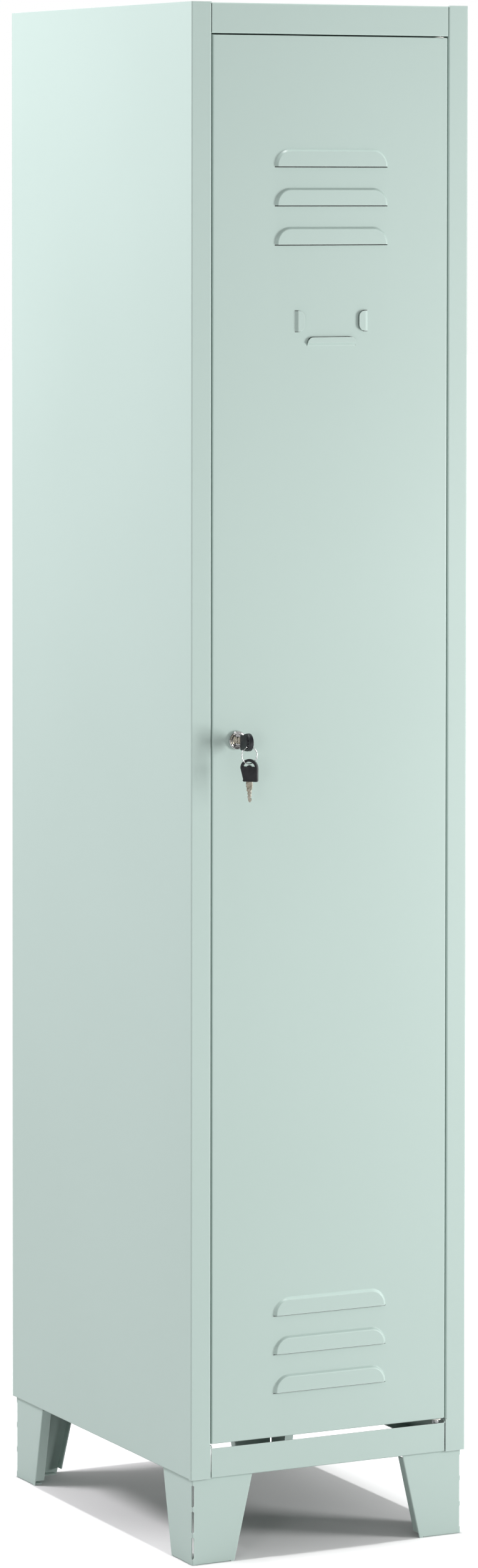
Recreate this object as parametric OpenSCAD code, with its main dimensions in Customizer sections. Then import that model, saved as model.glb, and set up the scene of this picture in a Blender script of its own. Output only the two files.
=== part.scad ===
/* [Body] */
// Width over the side panels
body_w = 360; // [300:1:600]
// Depth from the post faces to the rear flanges
body_d = 500; // [400:1:600]
// Height from the floor to the top of the posts
total_h = 1800; // [1600:1:2000]
// Thickness of the body and door sheet
sheet = 1.2; // [0.8:0.1:1.5]

/* [Posts and rails] */
// Width of the folded front posts
post_w = 25.7; // [20:0.1:40]
// Depth of the fold behind each post face
post_depth = 20; // [18:0.5:30]
// Reach of the door rebate behind the lock side of the door
rebate_w = 12; // [8:0.5:20]
// Height of the top rail
top_rail_h = 36; // [30:0.5:60]
// Height of the bottom rail
bottom_rail_h = 38; // [30:0.5:60]
// How far the rails sit behind the post faces
rail_recess = 0.5; // [0:0.1:1]
// How far the top sheet sits below the post tops
top_drop = 1; // [0.5:0.1:2]

/* [Door] */
// Gap all round the door
door_gap = 1.5; // [1:0.1:3]
// Depth of the door pan
door_depth = 16; // [14:0.5:18]
// Width of the returns at the back of the pan
door_return = 15; // [10:0.5:20]
// Outer radius of the door's long folds
fold_r = 2; // [1.5:0.1:3]

/* [Louvres] */
// Length of a louvre
louvre_w = 147; // [80:1:200]
// Height of a louvre
louvre_h = 20.8; // [15:0.1:25]
// Distance from one louvre to the next
louvre_pitch = 45; // [35:1:60]
// How far a louvre stands out of the door
louvre_raise = 3.4; // [3:0.1:6]
// Louvres in each set
louvre_count = 3; // [1:1:4]
// Height of the upper set's lowest edge above the floor
upper_louvre_z = 1522; // [1450:1:1560]
// Height of the lower set's lowest edge above the floor
lower_louvre_z = 191.6; // [170:0.1:400]

/* [Card holder] */
// Height of the card holder's lower edge above the floor
card_z = 1405; // [1000:1:1410]
// Inside width of the card holder
card_w = 70; // [40:1:100]
// Height of the side tabs
card_tab_h = 25; // [25:0.5:40]
// How far the tabs stand out of the door
card_tab_raise = 3; // [1.4:0.1:3.5]

/* [Hinge] */
// Distance from the middle of the door to the hinge axis
hinge_x = 144; // [140:0.5:145]
// Distance from the door face back to the hinge axis
hinge_back = 6; // [5.5:0.1:6]
// Radius of the hinge pins
pin_r = 3; // [2:0.1:3.2]
// Radial play of a pin in its bush
pin_play = 0.05; // [0.02:0.01:0.1]

/* [Lock and keys] */
// Distance from the middle of the door to the lock's axis
lock_x = 121.5; // [100:0.5:125]
// Height of the lock's axis above the floor
lock_z = 952.6; // [800:0.1:1100]
// Radius of the lock's face ring
lock_face_r = 11; // [9:0.1:13]
// How far the key stands out of the door
key_reach = 39; // [36:0.5:45]
// Width of a key's head
key_head_w = 20.6; // [18:0.1:24]
// Length of a key's head
key_head_l = 26; // [22:0.1:30]
// Radius of the key ring, to the middle of its wire
ring_r = 9.7; // [9:0.1:14]
// Radius of the key ring's wire
wire_r = 0.6; // [0.4:0.1:0.8]

/* [Legs] */
// Height of the legs
leg_h = 100; // [60:1:150]
// Distance from the body's faces in to the leg's faces
leg_inset = 3.7; // [1:0.1:10]
// Width of each leg face at the top
leg_top_w = 78; // [60:1:100]
// Width of each leg face at the floor
leg_foot_w = 55; // [40:1:60]
// Width of the folded-in edges
leg_fold_w = 12; // [8:0.5:16]
// Thickness of the leg sheet
leg_sheet = 1.5; // [1.2:0.1:2]
// Length of the slots along the corner fold
leg_slot_l = 26; // [20:1:28]
// Distance from one slot to the next
leg_slot_pitch = 30.3; // [30:0.1:32]

/* [Shelf and rail] */
// Height of the hat shelf above the floor
shelf_z = 1490; // [1400:1:1550]
// Depth of the shelf's folded edge
shelf_edge = 20; // [15:1:30]
// Radius of the hanging rail
rail_r = 9; // [6:0.5:12]
// Drop from the shelf to the middle of the hanging rail
rail_drop = 60; // [45:1:100]
// Height of the coat hooks above the floor
hook_z = 1340; // [1200:1:1380]

/* [Hidden] */
$fn = 48;

paint = "#b9ccc4";
zinc = "#c9ccce";
chrome = "#e2e4e6";
black = "#1d1e20";
rubber = "#3a3c3d";
nylon = "#e8e8e2";

head_t = 5;
ring_back = 6.9;
key_two_turn = 45;
spare_reach = (key_head_w * sin(key_two_turn) + head_t * cos(key_two_turn)) / 2;
bunch_reach = max(key_reach, key_reach - ring_back + spare_reach);

// The origin is on the floor, midway between the rear flanges and the keys' outermost point.
front = -(body_d - bunch_reach) / 2;
rear = front + body_d;
half_w = body_w / 2;
inner_x = half_w - sheet;
opening_x = half_w - post_w;
top_z = total_h - top_drop;
floor_z = leg_h + bottom_rail_h;
lintel_z = total_h - top_rail_h;
rail_y = front + rail_recess;
back_y = rear - 2 * sheet;
overlap = 1;

door_x = opening_x - door_gap;
door_z0 = floor_z + door_gap;
door_z1 = lintel_z - door_gap;
door_back = front + door_depth;
skin_y = front + sheet;
rebate_y = front + post_depth;

louvre_lip = 0.6;
crown_low = 0.45;
crown_high = 0.75;
stiffener_w = 60;
stiffener_lip = 12;
stiffener_end_gap = 20;
stiffener_back_gap = 1;

card_tab_w = 12.4;
card_tab_r = 8.2;
card_side_up = 28.5;
card_foot_w = 64;
card_foot_h = 10.5;

buffer_r = 4.5;
buffer_in = 6;
buffer_from_end = 60;
buffer_over_lock = 180;
buffer_play = 0.1;

hinge_y = front + hinge_back;
bush_r = pin_r + 1.5;
bush_collar_r = pin_r + 3;
bush_collar_h = 0.8;
hinge_plate_t = 3;
hinge_plate_in = 18;
hinge_plate_d = door_depth - 2 * sheet - 0.4;
pin_head_r = hinge_back - rail_recess - sheet - 0.1;
pin_head_h = 3;
pin_engage = 12;
washer_h = 0.6;

lock_proud = 3.5;
lock_body_r = 9;
plug_r = 6;
plug_play = 0.08;
lock_back = rebate_y + sheet + 1;
lock_nut_r = lock_body_r + 3.5;
lock_nut_h = 4;
plug_sunk = 0.4;
cam_play = 0.6;
cam_screw_r = 2.5;
cam_screw_head_r = 5;
cam_screw_head_h = 3;
cam_t = 2;
cam_w = 14;
cam_l = 34;
lock_face_y = front - lock_proud;
keyway_w = 2.6;
keyway_h = 8.4;
keyway_l = lock_back - lock_face_y - 4;

head_arch_r = key_head_w / 2;
head_bar = 3;
hole_out_r = head_arch_r - head_bar;
hole_in_r = hole_out_r - 4;
hole_chord = 1.6;
blade_t = 2;
blade_w = 7.6;
blade_point = 2.5;
blade_tip_w = 1.6;
cut_w = 2.2;
cut_pitch = 3.2;
cut_count = 5;
key_one_blade_l = 29;
key_one_shoulder = 8;
key_two_shoulder = 4;
key_y = front - key_reach;
ring_drop = 5;
ring_y = key_y + ring_back;
ring_top_z = lock_z - ring_drop;
ring_z = ring_top_z - ring_r;
key_two_slack = 2;
key_two_arch_z = ring_z - ring_r + wire_r + key_two_slack - hole_out_r;
key_two_blade_l = 24;

leg_lean = leg_top_w - leg_foot_w;
leg_slot_r = 2.4;
leg_notch = 6;
leg_flange_w = 20;
bolt_r = 3;
bolt_head_r = 5.6;
bolt_head_h = 3.6;
nut_h = 5;
bolt_end = 2;
bolt_in = 10;
bolt_along = 52;
flange_w = 25;

hook_y = rear - 120;
hook_r = 3;
hook_bend_r = 8;
hook_shank = 18;
hook_tip_r = 4;
hook_plate = [2, 18, 60];
hook_rows = [-18, 14];
hook_tip_h = 10;
clip_l = 30;
clip_h = 22;
clip_out = 16;
clip_t = 2;
clip_from_front = 90;
clip_from_rear = 60;
rail_play = 3;
rail_cup_l = 14;
rail_cup_wall = 2.5;
rail_flange_w = 9;
rail_mid_y = (front + rear) / 2;
rail_z = shelf_z - rail_drop;
shelf_play = 0.6;
shelf_front = front + 38;

// Mirrors its children to the other side of the cabinet.
module other_side() mirror([1, 0, 0]) children();

module box(low, high) translate(low) cube(high - low);

// ---- Cabinet body ----

// Side wall and post face; inner folds stop at the top sheet and at the floor sheet.
module side_shell(rebate) {
    box([-half_w, front, leg_h], [-inner_x, rear, total_h]);
    box([-half_w, front, leg_h], [-opening_x, skin_y, total_h]);
    box([-opening_x - sheet, front, floor_z], [-opening_x, rebate_y + sheet, top_z - sheet]);
    if (rebate)
        box([-opening_x - sheet, rebate_y, floor_z],
            [-opening_x + rebate_w, rebate_y + sheet, top_z - sheet]);
    box([-half_w, rear - sheet, leg_h], [-half_w + flange_w, rear, total_h]);
    difference() {
        box([-half_w, front, leg_h], [-half_w + flange_w, rear, leg_h + sheet]);
        for (y = [front + leg_inset + bolt_along, rear - leg_inset - bolt_along])
            translate([-half_w + leg_inset + bolt_in, y, leg_h - overlap])
                cylinder(r = bolt_r, h = sheet + 2 * overlap);
    }
}

module left_side_panel() color(paint) side_shell(true);

module right_side_panel() color(paint) other_side() side_shell(false);

module back_panel() color(paint)
    box([-inner_x, back_y, leg_h + sheet], [inner_x, back_y + sheet, top_z - sheet]);

// Sheet with a rail folded down at its front, and a return behind the rail.
module top_panel() color(paint) difference() {
    union() {
        box([-inner_x, skin_y, top_z - sheet], [inner_x, rear - sheet, top_z]);
        box([-opening_x, rail_y, top_z - sheet], [opening_x, skin_y, top_z]);
        box([-opening_x, rail_y, lintel_z], [opening_x, rail_y + sheet, top_z]);
        box([-opening_x, rail_y, lintel_z], [opening_x, rebate_y, lintel_z + sheet]);
    }
    translate([hinge_x, hinge_y, lintel_z - overlap]) cylinder(r = pin_r, h = sheet + 2 * overlap);
}

module bottom_panel() color(paint) difference() {
    union() {
        box([-inner_x, skin_y, floor_z - sheet], [inner_x, back_y, floor_z]);
        box([-opening_x, rail_y, floor_z - sheet], [opening_x, skin_y, floor_z]);
        box([-opening_x, rail_y, leg_h], [opening_x, rail_y + sheet, floor_z]);
        box([-opening_x, rail_y, leg_h], [opening_x, rail_y + flange_w, leg_h + sheet]);
        box([-half_w + flange_w, back_y - flange_w, leg_h],
            [half_w - flange_w, back_y, leg_h + sheet]);
        box([-half_w + flange_w, back_y - sheet, leg_h], [half_w - flange_w, back_y, floor_z]);
    }
    translate([hinge_x, hinge_y, floor_z - sheet - overlap])
        cylinder(r = pin_r, h = sheet + 2 * overlap);
    for (side = [-1, 1], y = [front + leg_inset + bolt_in, rear - leg_inset - bolt_in])
        translate([side * (half_w - leg_inset - bolt_along), y, leg_h - overlap])
            cylinder(r = bolt_r, h = sheet + 2 * overlap);
}

// ---- Legs ----

// One face of a leg with its folded edges, starting at the corner and running along +X.
module leg_face() {
    edge_t = leg_sheet * norm([leg_lean, leg_h]) / leg_h;
    rotate([90, 0, 0]) mirror([0, 0, 1]) linear_extrude(leg_sheet)
        polygon([[0, 0], [leg_foot_w, 0], [leg_top_w, leg_h], [0, leg_h]]);
    rotate([90, 0, 0]) mirror([0, 0, 1]) linear_extrude(leg_fold_w) polygon([
        [leg_foot_w + leg_lean * leg_notch / leg_h - edge_t, leg_notch],
        [leg_foot_w + leg_lean * leg_notch / leg_h, leg_notch],
        [leg_top_w, leg_h],
        [leg_top_w - edge_t, leg_h]
    ]);
    box([0, 0, 0], [leg_foot_w - leg_notch, leg_fold_w, leg_sheet]);
    box([0, 0, leg_h - leg_sheet], [leg_top_w - edge_t, leg_flange_w, leg_h]);
}

// Corner leg: two faces mirrored about the diagonal, slots along the corner fold.
module leg() color(paint) difference() {
    union() {
        leg_face();
        mirror([1, -1, 0]) leg_face();
    }
    for (i = [0 : 2])
        translate([0, 0, leg_h / 2 + (i - 1) * leg_slot_pitch]) {
            leg_slot();
            mirror([1, -1, 0]) leg_slot();
        }
    for (at = [[bolt_along, bolt_in], [bolt_in, bolt_along]])
        translate([at[0], at[1], leg_h - leg_sheet - overlap])
            cylinder(r = bolt_r, h = leg_sheet + 2 * overlap);
}

module leg_slot() {
    straight = leg_slot_l - 2 * leg_slot_r;
    box([-overlap, -overlap, -straight / 2], [leg_slot_r, leg_sheet + overlap, straight / 2]);
    for (z = [-straight / 2, straight / 2])
        translate([0, -overlap, z]) rotate([-90, 0, 0])
            cylinder(r = leg_slot_r, h = leg_sheet + 2 * overlap);
}

// Puts a leg, or what is on it, at the front left corner.
module at_front_left() translate([-half_w + leg_inset, front + leg_inset, 0]) children();

// Puts a leg, or what is on it, at the rear left corner.
module at_rear_left() translate([-half_w + leg_inset, rear - leg_inset, 0])
    mirror([0, 1, 0]) children();

module at_all_legs() {
    at_front_left() children();
    at_rear_left() children();
    other_side() at_front_left() children();
    other_side() at_rear_left() children();
}

module leg_front_left() at_front_left() leg();
module leg_front_right() other_side() at_front_left() leg();
module leg_rear_left() at_rear_left() leg();
module leg_rear_right() other_side() at_rear_left() leg();

module leg_bolts() color(zinc) at_all_legs()
    for (at = [[bolt_along, bolt_in], [bolt_in, bolt_along]])
        translate([at[0], at[1], leg_h - leg_sheet - bolt_head_h]) {
            cylinder(r = bolt_head_r, h = bolt_head_h, $fn = 6);
            cylinder(r = bolt_r, h = bolt_head_h + leg_sheet + sheet + nut_h + bolt_end);
        }

module leg_nuts() color(zinc) at_all_legs()
    for (at = [[bolt_along, bolt_in], [bolt_in, bolt_along]])
        translate([at[0], at[1], leg_h + sheet]) difference() {
            cylinder(r = bolt_head_r, h = nut_h, $fn = 6);
            translate([0, 0, -overlap]) cylinder(r = bolt_r, h = nut_h + 2 * overlap);
        }

// ---- Inside the body ----

module hat_shelf() color(paint) {
    low = [-inner_x + shelf_play, shelf_front, shelf_z - sheet];
    high = [inner_x - shelf_play, back_y - shelf_play, shelf_z];
    box(low, high);
    box([low[0], low[1], shelf_z - shelf_edge], [high[0], low[1] + sheet, shelf_z]);
    box([low[0], high[1] - sheet, shelf_z - shelf_edge], [high[0], high[1], shelf_z]);
}

// Angle clips on the side walls that carry the shelf.
module shelf_clips() color(zinc)
    for (side = [0, 1], y = [front + clip_from_front, rear - clip_from_rear])
        mirror([side, 0, 0]) translate([-inner_x, y, shelf_z - sheet - clip_h]) {
            cube([clip_t, clip_l, clip_h]);
            translate([0, 0, clip_h - clip_t]) cube([clip_out, clip_l, clip_t]);
        }

module hanging_rail() color(chrome)
    translate([-inner_x + rail_play, rail_mid_y, rail_z]) rotate([0, 90, 0]) difference() {
        cylinder(r = rail_r, h = 2 * (inner_x - rail_play));
        translate([0, 0, -overlap]) cylinder(r = rail_r - sheet, h = 2 * inner_x);
    }

// Flanged cups on the side walls that hold the rail's ends.
module rail_brackets() color(zinc)
    for (side = [0, 1])
        mirror([side, 0, 0]) translate([-inner_x, rail_mid_y, rail_z]) rotate([0, 90, 0])
            difference() {
                union() {
                    cylinder(r = rail_r + rail_flange_w, h = rail_play);
                    cylinder(r = rail_r + rail_cup_wall, h = rail_cup_l);
                }
                translate([0, 0, rail_play]) cylinder(r = rail_r, h = rail_cup_l);
            }

// Double coat hook on a back plate.
module coat_hook() translate([-inner_x, hook_y, hook_z]) {
    translate([0, -hook_plate[1] / 2, -hook_plate[2] / 2]) cube(hook_plate);
    for (z = hook_rows)
        translate([hook_plate[0], 0, z]) {
            rotate([0, 90, 0]) cylinder(r = hook_r, h = hook_shank);
            translate([hook_shank, 0, hook_bend_r]) rotate([90, 0, 0]) rotate([0, 0, -90])
                rotate_extrude(angle = 90) translate([hook_bend_r, 0]) circle(r = hook_r);
            translate([hook_shank + hook_bend_r, 0, hook_bend_r]) {
                cylinder(r = hook_r, h = hook_tip_h);
                translate([0, 0, hook_tip_h]) sphere(r = hook_tip_r);
            }
        }
}

module left_coat_hook() color(chrome) coat_hook();
module right_coat_hook() color(chrome) other_side() coat_hook();

// ---- Hinge parts on the body ----

module upper_hinge_pin() color(zinc) translate([hinge_x, hinge_y, 0]) {
    translate([0, 0, lintel_z + sheet]) cylinder(r = pin_head_r, h = pin_head_h);
    translate([0, 0, lintel_z - pin_engage]) cylinder(r = pin_r, h = pin_engage + sheet + pin_head_h);
}

module lower_hinge_pin() color(zinc) translate([hinge_x, hinge_y, 0]) {
    translate([0, 0, floor_z - sheet - pin_head_h]) {
        cylinder(r = pin_head_r, h = pin_head_h);
        cylinder(r = pin_r, h = pin_head_h + sheet + pin_engage);
    }
}

module hinge_washer() color(nylon) translate([hinge_x, hinge_y, floor_z]) difference() {
    cylinder(r = bush_collar_r, h = washer_h);
    translate([0, 0, -overlap]) cylinder(r = pin_r, h = washer_h + 2 * overlap);
}

// Pads on the rebate that the closed door rests against.
module door_buffers() color(rubber)
    for (z = [floor_z + buffer_from_end, lock_z + buffer_over_lock, lintel_z - buffer_from_end])
        translate([-opening_x + buffer_in, rebate_y, z]) rotate([90, 0, 0])
            cylinder(r = buffer_r, h = post_depth - door_depth - buffer_play);

// ---- Door ----

// Outline of a louvre in X and Z, with its straight open edge at the bottom.
module louvre_outline(inset) {
    w = louvre_w - 2 * inset;
    h = louvre_h - inset;
    r = h - louvre_lip;
    translate([-w / 2 + r, 0]) square([w - 2 * r, h]);
    translate([-w / 2, 0]) square([w, h - r]);
    intersection() {
        union() {
            translate([-w / 2 + r, h - r]) circle(r = r);
            translate([w / 2 - r, h - r]) circle(r = r);
        }
        translate([-w / 2, 0]) square([w, h]);
    }
}

// Upright prism from a louvre outline, running forward from the plane y.
module louvre_prism(inset, y_from, y_to)
    translate([0, y_to, 0]) rotate([90, 0, 0]) linear_extrude(y_to - y_from) louvre_outline(inset);

// Wedge that gives a louvre its slope: full height at its open edge, flat at the top.
module louvre_wedge(raise, h)
    translate([-louvre_w, 0, 0]) rotate([90, 0, 90]) linear_extrude(2 * louvre_w)
        polygon([[0, 0], [-raise, 0], [-raise, h * crown_low], [-raise * crown_high, h * crown_high], [0, h]]);

module louvre_shell() difference() {
    intersection() {
        louvre_prism(0, front - louvre_raise, skin_y);
        translate([0, front, 0]) union() {
            louvre_wedge(louvre_raise, louvre_h);
            box([-louvre_w, 0, 0], [louvre_w, sheet, louvre_h]);
        }
    }
    intersection() {
        translate([0, 0, -overlap]) union() {
            louvre_prism(sheet, front - louvre_raise, skin_y + overlap);
            translate([0, 0, overlap]) louvre_prism(sheet, front - louvre_raise, skin_y + overlap);
        }
        translate([0, skin_y, -overlap]) union() {
            louvre_wedge(louvre_raise, louvre_h);
            box([-louvre_w, 0, 0], [louvre_w, 2 * overlap, louvre_h]);
        }
    }
}

function louvre_heights() = [
    for (z = [upper_louvre_z, lower_louvre_z], i = [0 : louvre_count - 1]) z + i * louvre_pitch
];

// Tab on the door face: a bar with two rounded corners, its straight edge at the bottom.
module tab(w, h) rotate([90, 0, 0]) linear_extrude(card_tab_raise) {
    translate([-w / 2, 0]) square([w, h - card_tab_r]);
    translate([-w / 2 + card_tab_r, 0]) square([w - 2 * card_tab_r, h]);
    for (x = [card_tab_r - w / 2, w / 2 - card_tab_r])
        translate([x, h - card_tab_r]) circle(r = card_tab_r);
}

module tabs() {
    for (side = [0, 1])
        mirror([side, 0, 0]) translate([-card_w / 2 - card_tab_w, front, card_z + card_side_up])
            rotate([0, 90, 0]) tab(card_tab_h, card_tab_w);
    translate([0, front, card_z]) tab(card_foot_w, card_foot_h);
}

// Pan with folded edges, seen from above.
module pan_profile(inset) {
    x = door_x - inset;
    r = fold_r - inset * 0.5;
    y0 = front + inset;
    translate([-x + r, y0]) square([2 * x - 2 * r, r]);
    for (side = [-1, 1]) translate([side * (x - r), y0 + r]) circle(r = r);
    translate([-x, y0 + r]) square([2 * x, door_back - y0 - r]);
}

module door_pan() {
    lip_x = door_x - door_return;
    difference() {
        translate([0, 0, door_z0]) linear_extrude(door_z1 - door_z0) pan_profile(0);
        translate([0, 0, door_z0 + sheet]) linear_extrude(door_z1 - door_z0 - 2 * sheet)
            difference() {
                pan_profile(sheet);
                translate([-door_x, door_back - sheet]) square([2 * door_x, sheet + overlap]);
            }
        box([-lip_x, door_back - 2 * sheet, door_z0 + sheet],
            [lip_x, door_back + overlap, door_z1 - sheet]);
    }
}

module door_panel() color(paint) {
    difference() {
        door_pan();
        for (z = louvre_heights())
            translate([0, 0, z]) louvre_prism(sheet, front - overlap, skin_y + overlap);
        for (z = [door_z0, door_z1 - sheet])
            translate([hinge_x, hinge_y, z - overlap]) cylinder(r = bush_r, h = sheet + 2 * overlap);
        translate([-lock_x, front - overlap, lock_z]) rotate([-90, 0, 0])
            cylinder(r = lock_body_r, h = sheet + 2 * overlap);
    }
    for (z = louvre_heights()) translate([0, 0, z]) louvre_shell();
    tabs();
}

// Channel up the middle of the door, between the two louvre sets.
module door_stiffener() color(paint) {
    z0 = lower_louvre_z + louvre_count * louvre_pitch + stiffener_end_gap;
    z1 = upper_louvre_z - stiffener_end_gap;
    half = stiffener_w / 2;
    back = door_back - stiffener_back_gap;
    for (side = [0, 1])
        mirror([side, 0, 0]) {
            box([half - sheet, skin_y, z0], [half + stiffener_lip, skin_y + sheet, z1]);
            box([half - sheet, skin_y, z0], [half, back, z1]);
        }
    box([-half, back - sheet, z0], [half, back, z1]);
}

// Reinforcing plate behind the door's end fold, drilled for the bush.
module hinge_plate(z) color(zinc) difference() {
    box([hinge_x - hinge_plate_in, skin_y, z],
        [door_x - fold_r - sheet, skin_y + hinge_plate_d, z + hinge_plate_t]);
    translate([hinge_x, hinge_y, z - overlap])
        cylinder(r = bush_r, h = hinge_plate_t + 2 * overlap);
}

module upper_hinge_plate() hinge_plate(door_z1 - sheet - hinge_plate_t);
module lower_hinge_plate() hinge_plate(door_z0 + sheet);

// Flanged bush, its collar at the bottom.
module hinge_bush() color(nylon) difference() {
    union() {
        translate([0, 0, -bush_collar_h]) cylinder(r = bush_collar_r, h = bush_collar_h);
        cylinder(r = bush_r, h = sheet + hinge_plate_t);
    }
    translate([0, 0, -overlap - bush_collar_h])
        cylinder(r = pin_r + pin_play, h = hinge_plate_t + sheet + 4 * overlap);
}

module lower_hinge_bush() translate([hinge_x, hinge_y, door_z0]) hinge_bush();
module upper_hinge_bush() translate([hinge_x, hinge_y, door_z1]) mirror([0, 0, 1]) hinge_bush();

// ---- Lock ----

// Puts a shape whose axis is +Z on the lock's axis, with +Z running back from the plane y.
module on_lock_axis(y) translate([-lock_x, y, lock_z]) rotate([-90, 0, 0]) children();

module lock_housing() color(chrome) difference() {
    union() {
        on_lock_axis(lock_face_y) cylinder(r = lock_face_r, h = lock_proud);
        on_lock_axis(lock_face_y) cylinder(r = lock_body_r, h = lock_back - lock_face_y);
    }
    on_lock_axis(lock_face_y - overlap)
        cylinder(r = plug_r + plug_play, h = lock_back - lock_face_y + 2 * overlap);
}

module lock_nut() color(zinc) difference() {
    on_lock_axis(skin_y) cylinder(r = lock_nut_r, h = lock_nut_h, $fn = 6);
    on_lock_axis(skin_y - overlap) cylinder(r = lock_body_r, h = lock_nut_h + 2 * overlap);
}

module lock_plug() color(chrome) difference() {
    on_lock_axis(lock_face_y + plug_sunk)
        cylinder(r = plug_r, h = lock_back - lock_face_y + cam_play - plug_sunk);
    translate([-lock_x - keyway_w / 2, lock_face_y - overlap, lock_z - keyway_h / 2])
        cube([keyway_w, keyway_l, keyway_h]);
}

// Cam plate, hanging down when the lock is open.
module lock_cam() color(zinc) difference() {
    union() {
        on_lock_axis(lock_back + cam_play) cylinder(r = cam_w / 2, h = cam_t);
        translate([-lock_x - cam_w / 2, lock_back + cam_play, lock_z - cam_l])
            cube([cam_w, cam_t, cam_l]);
    }
    on_lock_axis(lock_back) cylinder(r = cam_screw_r, h = cam_t + 2 * overlap);
}

module cam_screw() color(zinc) {
    on_lock_axis(lock_back + cam_play + cam_t) cylinder(r = cam_screw_head_r, h = cam_screw_head_h);
    on_lock_axis(lock_back + cam_play) cylinder(r = cam_screw_r, h = cam_t + cam_screw_head_h);
}

// ---- Keys ----

// Head of a key in its own plane, outer end up, with its flat end at y = 0.
module head_outline() {
    side = key_head_l - head_arch_r;
    difference() {
        union() {
            translate([-head_arch_r, 0]) square([key_head_w, side]);
            translate([0, side]) circle(r = head_arch_r);
        }
        translate([0, side]) difference() {
            circle(r = hole_out_r);
            circle(r = hole_in_r);
            translate([-head_arch_r, hole_chord - head_arch_r]) square([key_head_w, head_arch_r]);
        }
    }
}

// Key head standing up in the plane of X and Z, its flat end at the origin.
module key_head() translate([0, head_t / 2, 0]) rotate([90, 0, 0]) linear_extrude(head_t) head_outline();

// Key blade hanging from the origin, with a shoulder and a row of cuts.
module key_blade(length, shoulder) translate([0, blade_t / 2, 0]) rotate([90, 0, 0])
    linear_extrude(blade_t) difference() {
        polygon([
            [-blade_w / 2, 0], [-blade_w / 2, -length + blade_point],
            [-blade_tip_w / 2, -length], [blade_tip_w / 2, -length],
            [blade_w / 2, -length + blade_point], [blade_w / 2, 0]
        ]);
        for (i = [0 : cut_count - 1])
            translate([blade_w / 2 + cut_w / 4, -shoulder - (i + 1) * cut_pitch])
                rotate(45) square(cut_w, center = true);
    }

// Turns a hanging key so that its blade points back into the lock.
module into_lock(y) translate([-lock_x, y, lock_z]) rotate([0, 90, 0]) rotate([90, 0, 0]) children();

module key_one_head() color(black) into_lock(key_y + key_head_l) key_head();
module key_one_blade() color(zinc) into_lock(key_y + key_head_l)
    key_blade(key_one_blade_l, key_one_shoulder);

module key_ring() color(chrome) translate([-lock_x, ring_y, ring_z]) rotate([90, 0, 0])
    rotate_extrude() translate([ring_r, 0]) circle(r = wire_r, $fn = 16);

// The spare key hangs from the bottom of the ring, turned part way round.
module spare_key() translate([-lock_x, ring_y, key_two_arch_z - key_head_l + head_arch_r])
    rotate([0, 0, -key_two_turn]) children();

module key_two_head() color(black) spare_key() key_head();
module key_two_blade() color(zinc) spare_key() key_blade(key_two_blade_l, key_two_shoulder);

left_side_panel();
right_side_panel();
back_panel();
top_panel();
bottom_panel();
leg_front_left();
leg_front_right();
leg_rear_left();
leg_rear_right();
leg_bolts();
leg_nuts();
hat_shelf();
shelf_clips();
hanging_rail();
rail_brackets();
left_coat_hook();
right_coat_hook();
upper_hinge_pin();
lower_hinge_pin();
hinge_washer();
door_buffers();
door_panel();
door_stiffener();
upper_hinge_plate();
lower_hinge_plate();
upper_hinge_bush();
lower_hinge_bush();
lock_housing();
lock_nut();
lock_plug();
lock_cam();
cam_screw();
key_one_blade();
key_one_head();
key_ring();
key_two_blade();
key_two_head();
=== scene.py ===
from math import asin, cos, pi, radians, sin, tan

import bmesh
import bpy
from mathutils import Matrix, Vector


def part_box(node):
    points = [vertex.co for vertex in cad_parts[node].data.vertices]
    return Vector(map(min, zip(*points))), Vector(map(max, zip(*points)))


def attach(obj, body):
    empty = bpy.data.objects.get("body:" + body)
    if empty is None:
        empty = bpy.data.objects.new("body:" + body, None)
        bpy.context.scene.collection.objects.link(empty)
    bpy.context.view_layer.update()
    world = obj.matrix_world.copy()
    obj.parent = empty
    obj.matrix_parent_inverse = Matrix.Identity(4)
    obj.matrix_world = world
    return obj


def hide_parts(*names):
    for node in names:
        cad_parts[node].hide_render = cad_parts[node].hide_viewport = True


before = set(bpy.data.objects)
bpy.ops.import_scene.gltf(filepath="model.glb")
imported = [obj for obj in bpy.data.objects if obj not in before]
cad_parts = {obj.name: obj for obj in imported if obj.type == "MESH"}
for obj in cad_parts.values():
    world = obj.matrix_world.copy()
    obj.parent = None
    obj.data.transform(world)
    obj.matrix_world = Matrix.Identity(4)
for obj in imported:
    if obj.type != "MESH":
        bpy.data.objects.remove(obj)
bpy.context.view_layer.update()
scene = bpy.context.scene

# ---------------------------------------------------------------- places taken from the frame

side_lo, side_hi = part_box("left_side_panel")
right_lo, right_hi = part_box("right_side_panel")
top_lo, top_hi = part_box("top_panel")
back_lo, back_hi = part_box("back_panel")
door_lo, door_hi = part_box("door_panel")
leg_lo, leg_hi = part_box("leg_front_left")
shelf_lo, shelf_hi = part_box("hat_shelf")
lock_lo, lock_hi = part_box("lock_housing")
head_lo, head_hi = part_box("key_one_head")
spare_lo, spare_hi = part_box("key_two_head")

SHEET = 0.0012
LEG_SHEET = 0.0015
FRONT = side_lo.y
REAR = side_hi.y
HALF_W = right_hi.x
OPENING_X = right_lo.x
BODY_BOTTOM = side_lo.z
TOP = side_hi.z
TOP_SHEET = top_hi.z
LINTEL = top_lo.z
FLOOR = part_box("bottom_panel")[1].z
RAIL_Y = top_lo.y
POST_DEPTH = 0.020
REBATE_Y = FRONT + POST_DEPTH
DOOR_X = door_hi.x
DOOR_Z0 = door_lo.z
DOOR_Z1 = door_hi.z
DOOR_BACK = door_hi.y
LOCK_X = (lock_lo.x + lock_hi.x) / 2
LOCK_Z = (lock_lo.z + lock_hi.z) / 2
EPS = 1e-6

# ---------------------------------------------------------------- camera

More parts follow.
